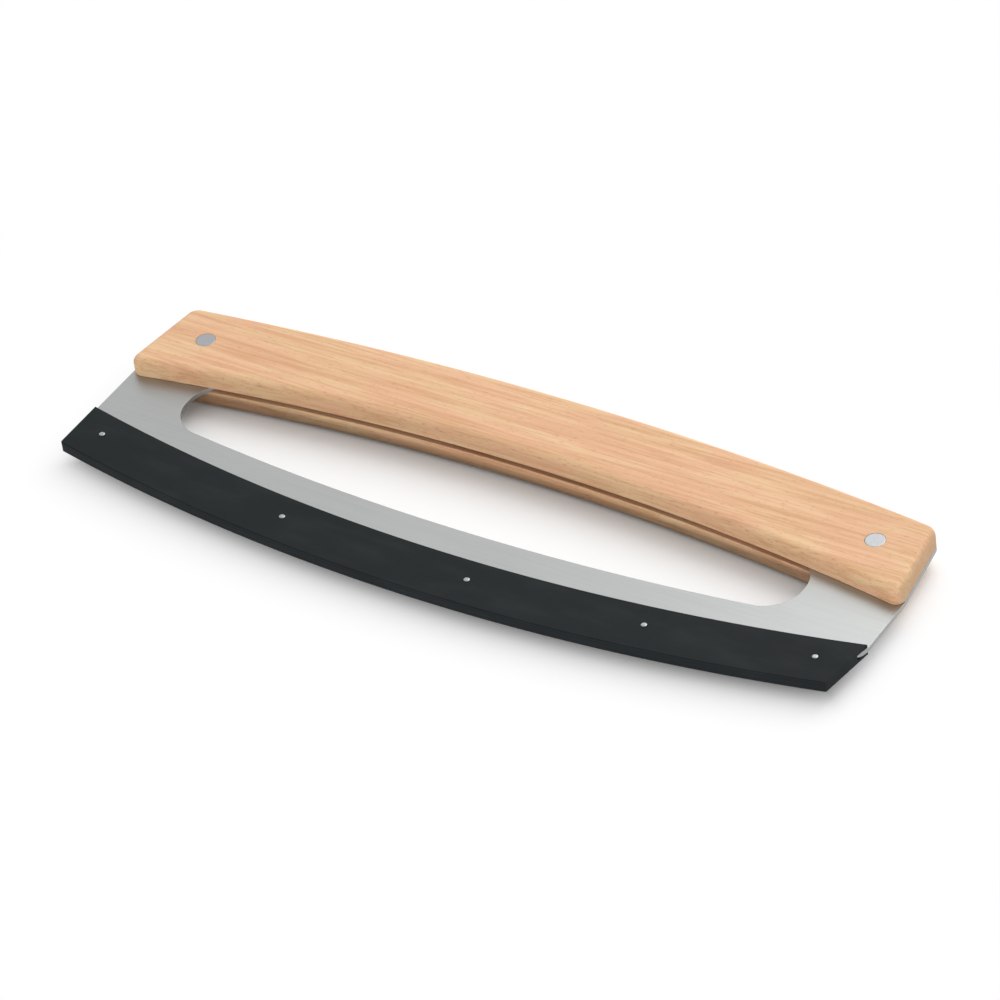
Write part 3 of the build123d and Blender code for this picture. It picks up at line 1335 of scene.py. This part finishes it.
    def build(self) -> None:
        """Build the strips, the spacer and the rivets."""
        dressing = Dressing(GuardPlastic().material("charcoal_plastic"), Slot.GUARD, Body.GUARD)
        for side, label in ((Side.FRONT, "front"), (Side.BACK, "back")):
            z = side.value * (self.slot_half + self.strip_thickness / 2)
            strip = self.layer(f"guard_strip_{label}", self.top, self.strip_thickness, z)
            dressing.finish(strip, f"guard_{label}_strip")
        welt = self.layer("guard_spacer", self.horn_top, 2 * self.slot_half, 0.0)
        welt.cut_out(self.blade_room())
        dressing.finish(welt, "guard_welt")
        places = self.rivet_places()
        first = self.rivet(places[0], 2 * (self.slot_half + self.strip_thickness))
        first.absorb([first.copy_to(place - places[0]) for place in places[1:]])
        first.object.name = "guard_rivet_row"
        metal = RivetMetal().material("bright_rivet", self.blade.handle.at(0, 0))
        Dressing(metal, Slot.RIVET, Body.GUARD).finish(first, "guard_rivets")


@dataclass(frozen=True)
class Lamp:
    """A soft oval lamp that faces the knife."""

    name: str
    place: Vector
    width: float
    height: float
    power: float

    def hang(self) -> None:
        """Add the lamp to the scene."""
        data = bpy.data.lights.new(self.name, "AREA")
        data.shape = "ELLIPSE"
        data.size = self.width
        data.size_y = self.height
        data.energy = self.power
        lamp = bpy.data.objects.new(self.name, data)
        bpy.context.scene.collection.objects.link(lamp)
        lamp.location = self.place
        lamp.rotation_mode = "QUATERNION"
        lamp.rotation_quaternion = (-self.place).to_track_quat("-Z", "Y")


@dataclass
class Studio:
    """Pale floor, soft lamps, white surroundings and the camera."""

    rim_centre: Vector
    rim_radius: float
    floor_size: float = 30.0
    floor_drop: float = 0.05 * MM
    white: Colour = (1.0, 1.0, 1.0)
    # Painted shade: the floor's darker bounce colour near and under the knife, which darkens the knife's
    # undersides
    floor_painted_shade: Colour = (0.25, 0.25, 0.25)
    floor_far: Colour = (0.90, 0.90, 0.90)
    sky_front: float = 0.46
    sky_back: float = 1.14
    sky_blend: float = 0.5
    key: Lamp = Lamp("key_lamp", Vector((0.12, 0.62, 0.72)), 0.78, 0.78, 3.4)
    fill: Lamp = Lamp("fill_lamp", Vector((0.20, -1.00, 0.12)), 0.7, 0.08, 4.5)
    veil: float = 0.62
    veil_start: float = -12 * MM
    veil_end: float = 7 * MM
    white_start: float = 40 * MM
    white_end: float = 110 * MM
    azimuth: float = 36.79
    elevation: float = 38.79
    roll: float = -8.12
    distance: float = 2.2348
    aim: Vector = Vector((0.0028, 0.0025, 0.009))
    focal_pixels: float = 5882.0
    frame_pixels: float = 1000.0
    sensor: float = 36.0
    sight: float = 100.0

    def seen(self, shader: Shader) -> Varying:
        """Tell rays that look at the background from rays that light the object.

        Args:
            shader: Node tree of the floor.

        Returns:
            1 for camera, glossy and transmission rays, and 0 for others.
        """
        rays = shader.node("ShaderNodeLightPath", {}, {}).outputs
        looking = shader.math("MAXIMUM", rays["Is Camera Ray"], rays["Is Glossy Ray"])
        return shader.math("MAXIMUM", looking, rays["Is Transmission Ray"])

    def past_knife(self, shader: Shader) -> Varying:
        """Measure how far a place on the floor lies outside the knife, seen from above.

        Args:
            shader: Node tree of the floor.

        Returns:
            The distance in metres, which is negative under the knife.
        """
        across, deep, _ = shader.axes(shader.place())
        _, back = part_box("blade_plate")
        past_rim = shader.distance(across, deep, self.rim_centre) - self.rim_radius
        past_sides = shader.math("MAXIMUM", abs(across) - back.x, deep - back.y)
        return shader.math("MAXIMUM", past_rim, past_sides)

    def floor(self) -> None:
        """Build the floor, whose shadow is veiled from the knife's rim on and gone further away. Near and
        under the knife, the colour that bounces light onto the knife is darker: painted shade that deepens
        the knife's undersides and contact shadows.
        """
        clear_bench()
        bpy.ops.mesh.primitive_plane_add(size=self.floor_size, location=(0, 0, -self.floor_drop))
        floor = bpy.context.object
        floor.name = "studio_floor"
        shader = Shader.material("white_floor")
        seen = self.seen(shader)
        past = self.past_knife(shader)
        outside = past.ramp(self.veil_start, self.veil_end)
        further = past.ramp(self.white_start, self.white_end)
        veiled = outside * self.veil + further * (1.0 - self.veil)
        # Painted shade: the bounce colour is dark near and under the knife and pale further out, which
        # deepens the contact shadows on the knife
        bounce_painted_shade = shader.mix(outside, self.floor_painted_shade, self.floor_far)
        colour = shader.mix(seen, bounce_painted_shade, self.white)
        matte = shader.node("ShaderNodeBsdfDiffuse", {}, {"Color": colour}).outputs[0]
        glow = shader.node("ShaderNodeEmission", {}, {"Color": self.white, "Strength": 1.0}).outputs[0]
        both = shader.node("ShaderNodeMixShader", {}, {0: seen * veiled, 1: matte, 2: glow})
        floor.data.materials.append(shader.output(both.outputs[0]))
        floor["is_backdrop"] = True

    def world(self) -> None:
        """Build the surroundings: their light is stronger behind the knife, and they look white."""
        world = bpy.data.worlds.new("white_room")
        bpy.context.scene.world = world
        shader = Shader(world)
        rays = shader.node("ShaderNodeLightPath", {}, {}).outputs
        camera = Varying(shader, rays["Is Camera Ray"])
        direction = shader.node("ShaderNodeTexCoord", {}, {}).outputs["Generated"]
        _, deep, _ = shader.axes(direction)
        behind = deep.ramp(-self.sky_blend, self.sky_blend)
        sky = behind * (self.sky_back - self.sky_front) + self.sky_front
        strength = camera + (1.0 - camera) * sky
        glow = shader.node("ShaderNodeBackground", {}, {"Color": self.white, "Strength": strength})
        shader.node("ShaderNodeOutputWorld", {}, {"Surface": glow.outputs[0]})

    def camera(self) -> None:
        """Set up the camera at the photograph's viewing angle."""
        turn, rise = math.radians(self.azimuth), math.radians(self.elevation)
        level = math.cos(rise)
        back = Vector((math.sin(turn) * level, -math.cos(turn) * level, math.sin(rise)))
        data = bpy.data.cameras.new("camera")
        data.sensor_width = self.sensor
        data.lens = self.focal_pixels / self.frame_pixels * self.sensor
        data.clip_end = self.sight
        camera = bpy.data.objects.new("camera", data)
        bpy.context.scene.collection.objects.link(camera)
        camera.location = self.aim + back * self.distance
        upright = (-back).to_track_quat("-Z", "Y").to_matrix().to_4x4()
        tilt = upright.Rotation(math.radians(self.roll), 4, "Z")
        camera.rotation_euler = (upright @ tilt).to_euler()
        bpy.context.scene.camera = camera

    def build(self) -> None:
        """Build the whole studio."""
        self.floor()
        self.world()
        self.key.hang()
        self.fill.hang()
        self.camera()
        bpy.context.scene.view_settings.view_transform = "Standard"
        log.info("studio: floor, surroundings, lamps and camera")


def corners() -> list[list[float]]:
    """Return the lowest and highest corner of what is shown, as plain lists."""
    return [list(corner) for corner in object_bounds()]


def main() -> None:
    """Build the knife and its studio."""
    logging.basicConfig(level=logging.INFO, format="%(name)s: %(message)s")
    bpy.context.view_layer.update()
    handle = Handle()
    rivets = HandleRivets(handle)
    blade = Blade(handle, rivets)
    guard = Guard(blade)
    handle.build(rivets)
    rivets.build()
    blade.build()
    guard.build()
    Studio(blade.centre, guard.rim).build()


if __name__ == "__main__":
    main()
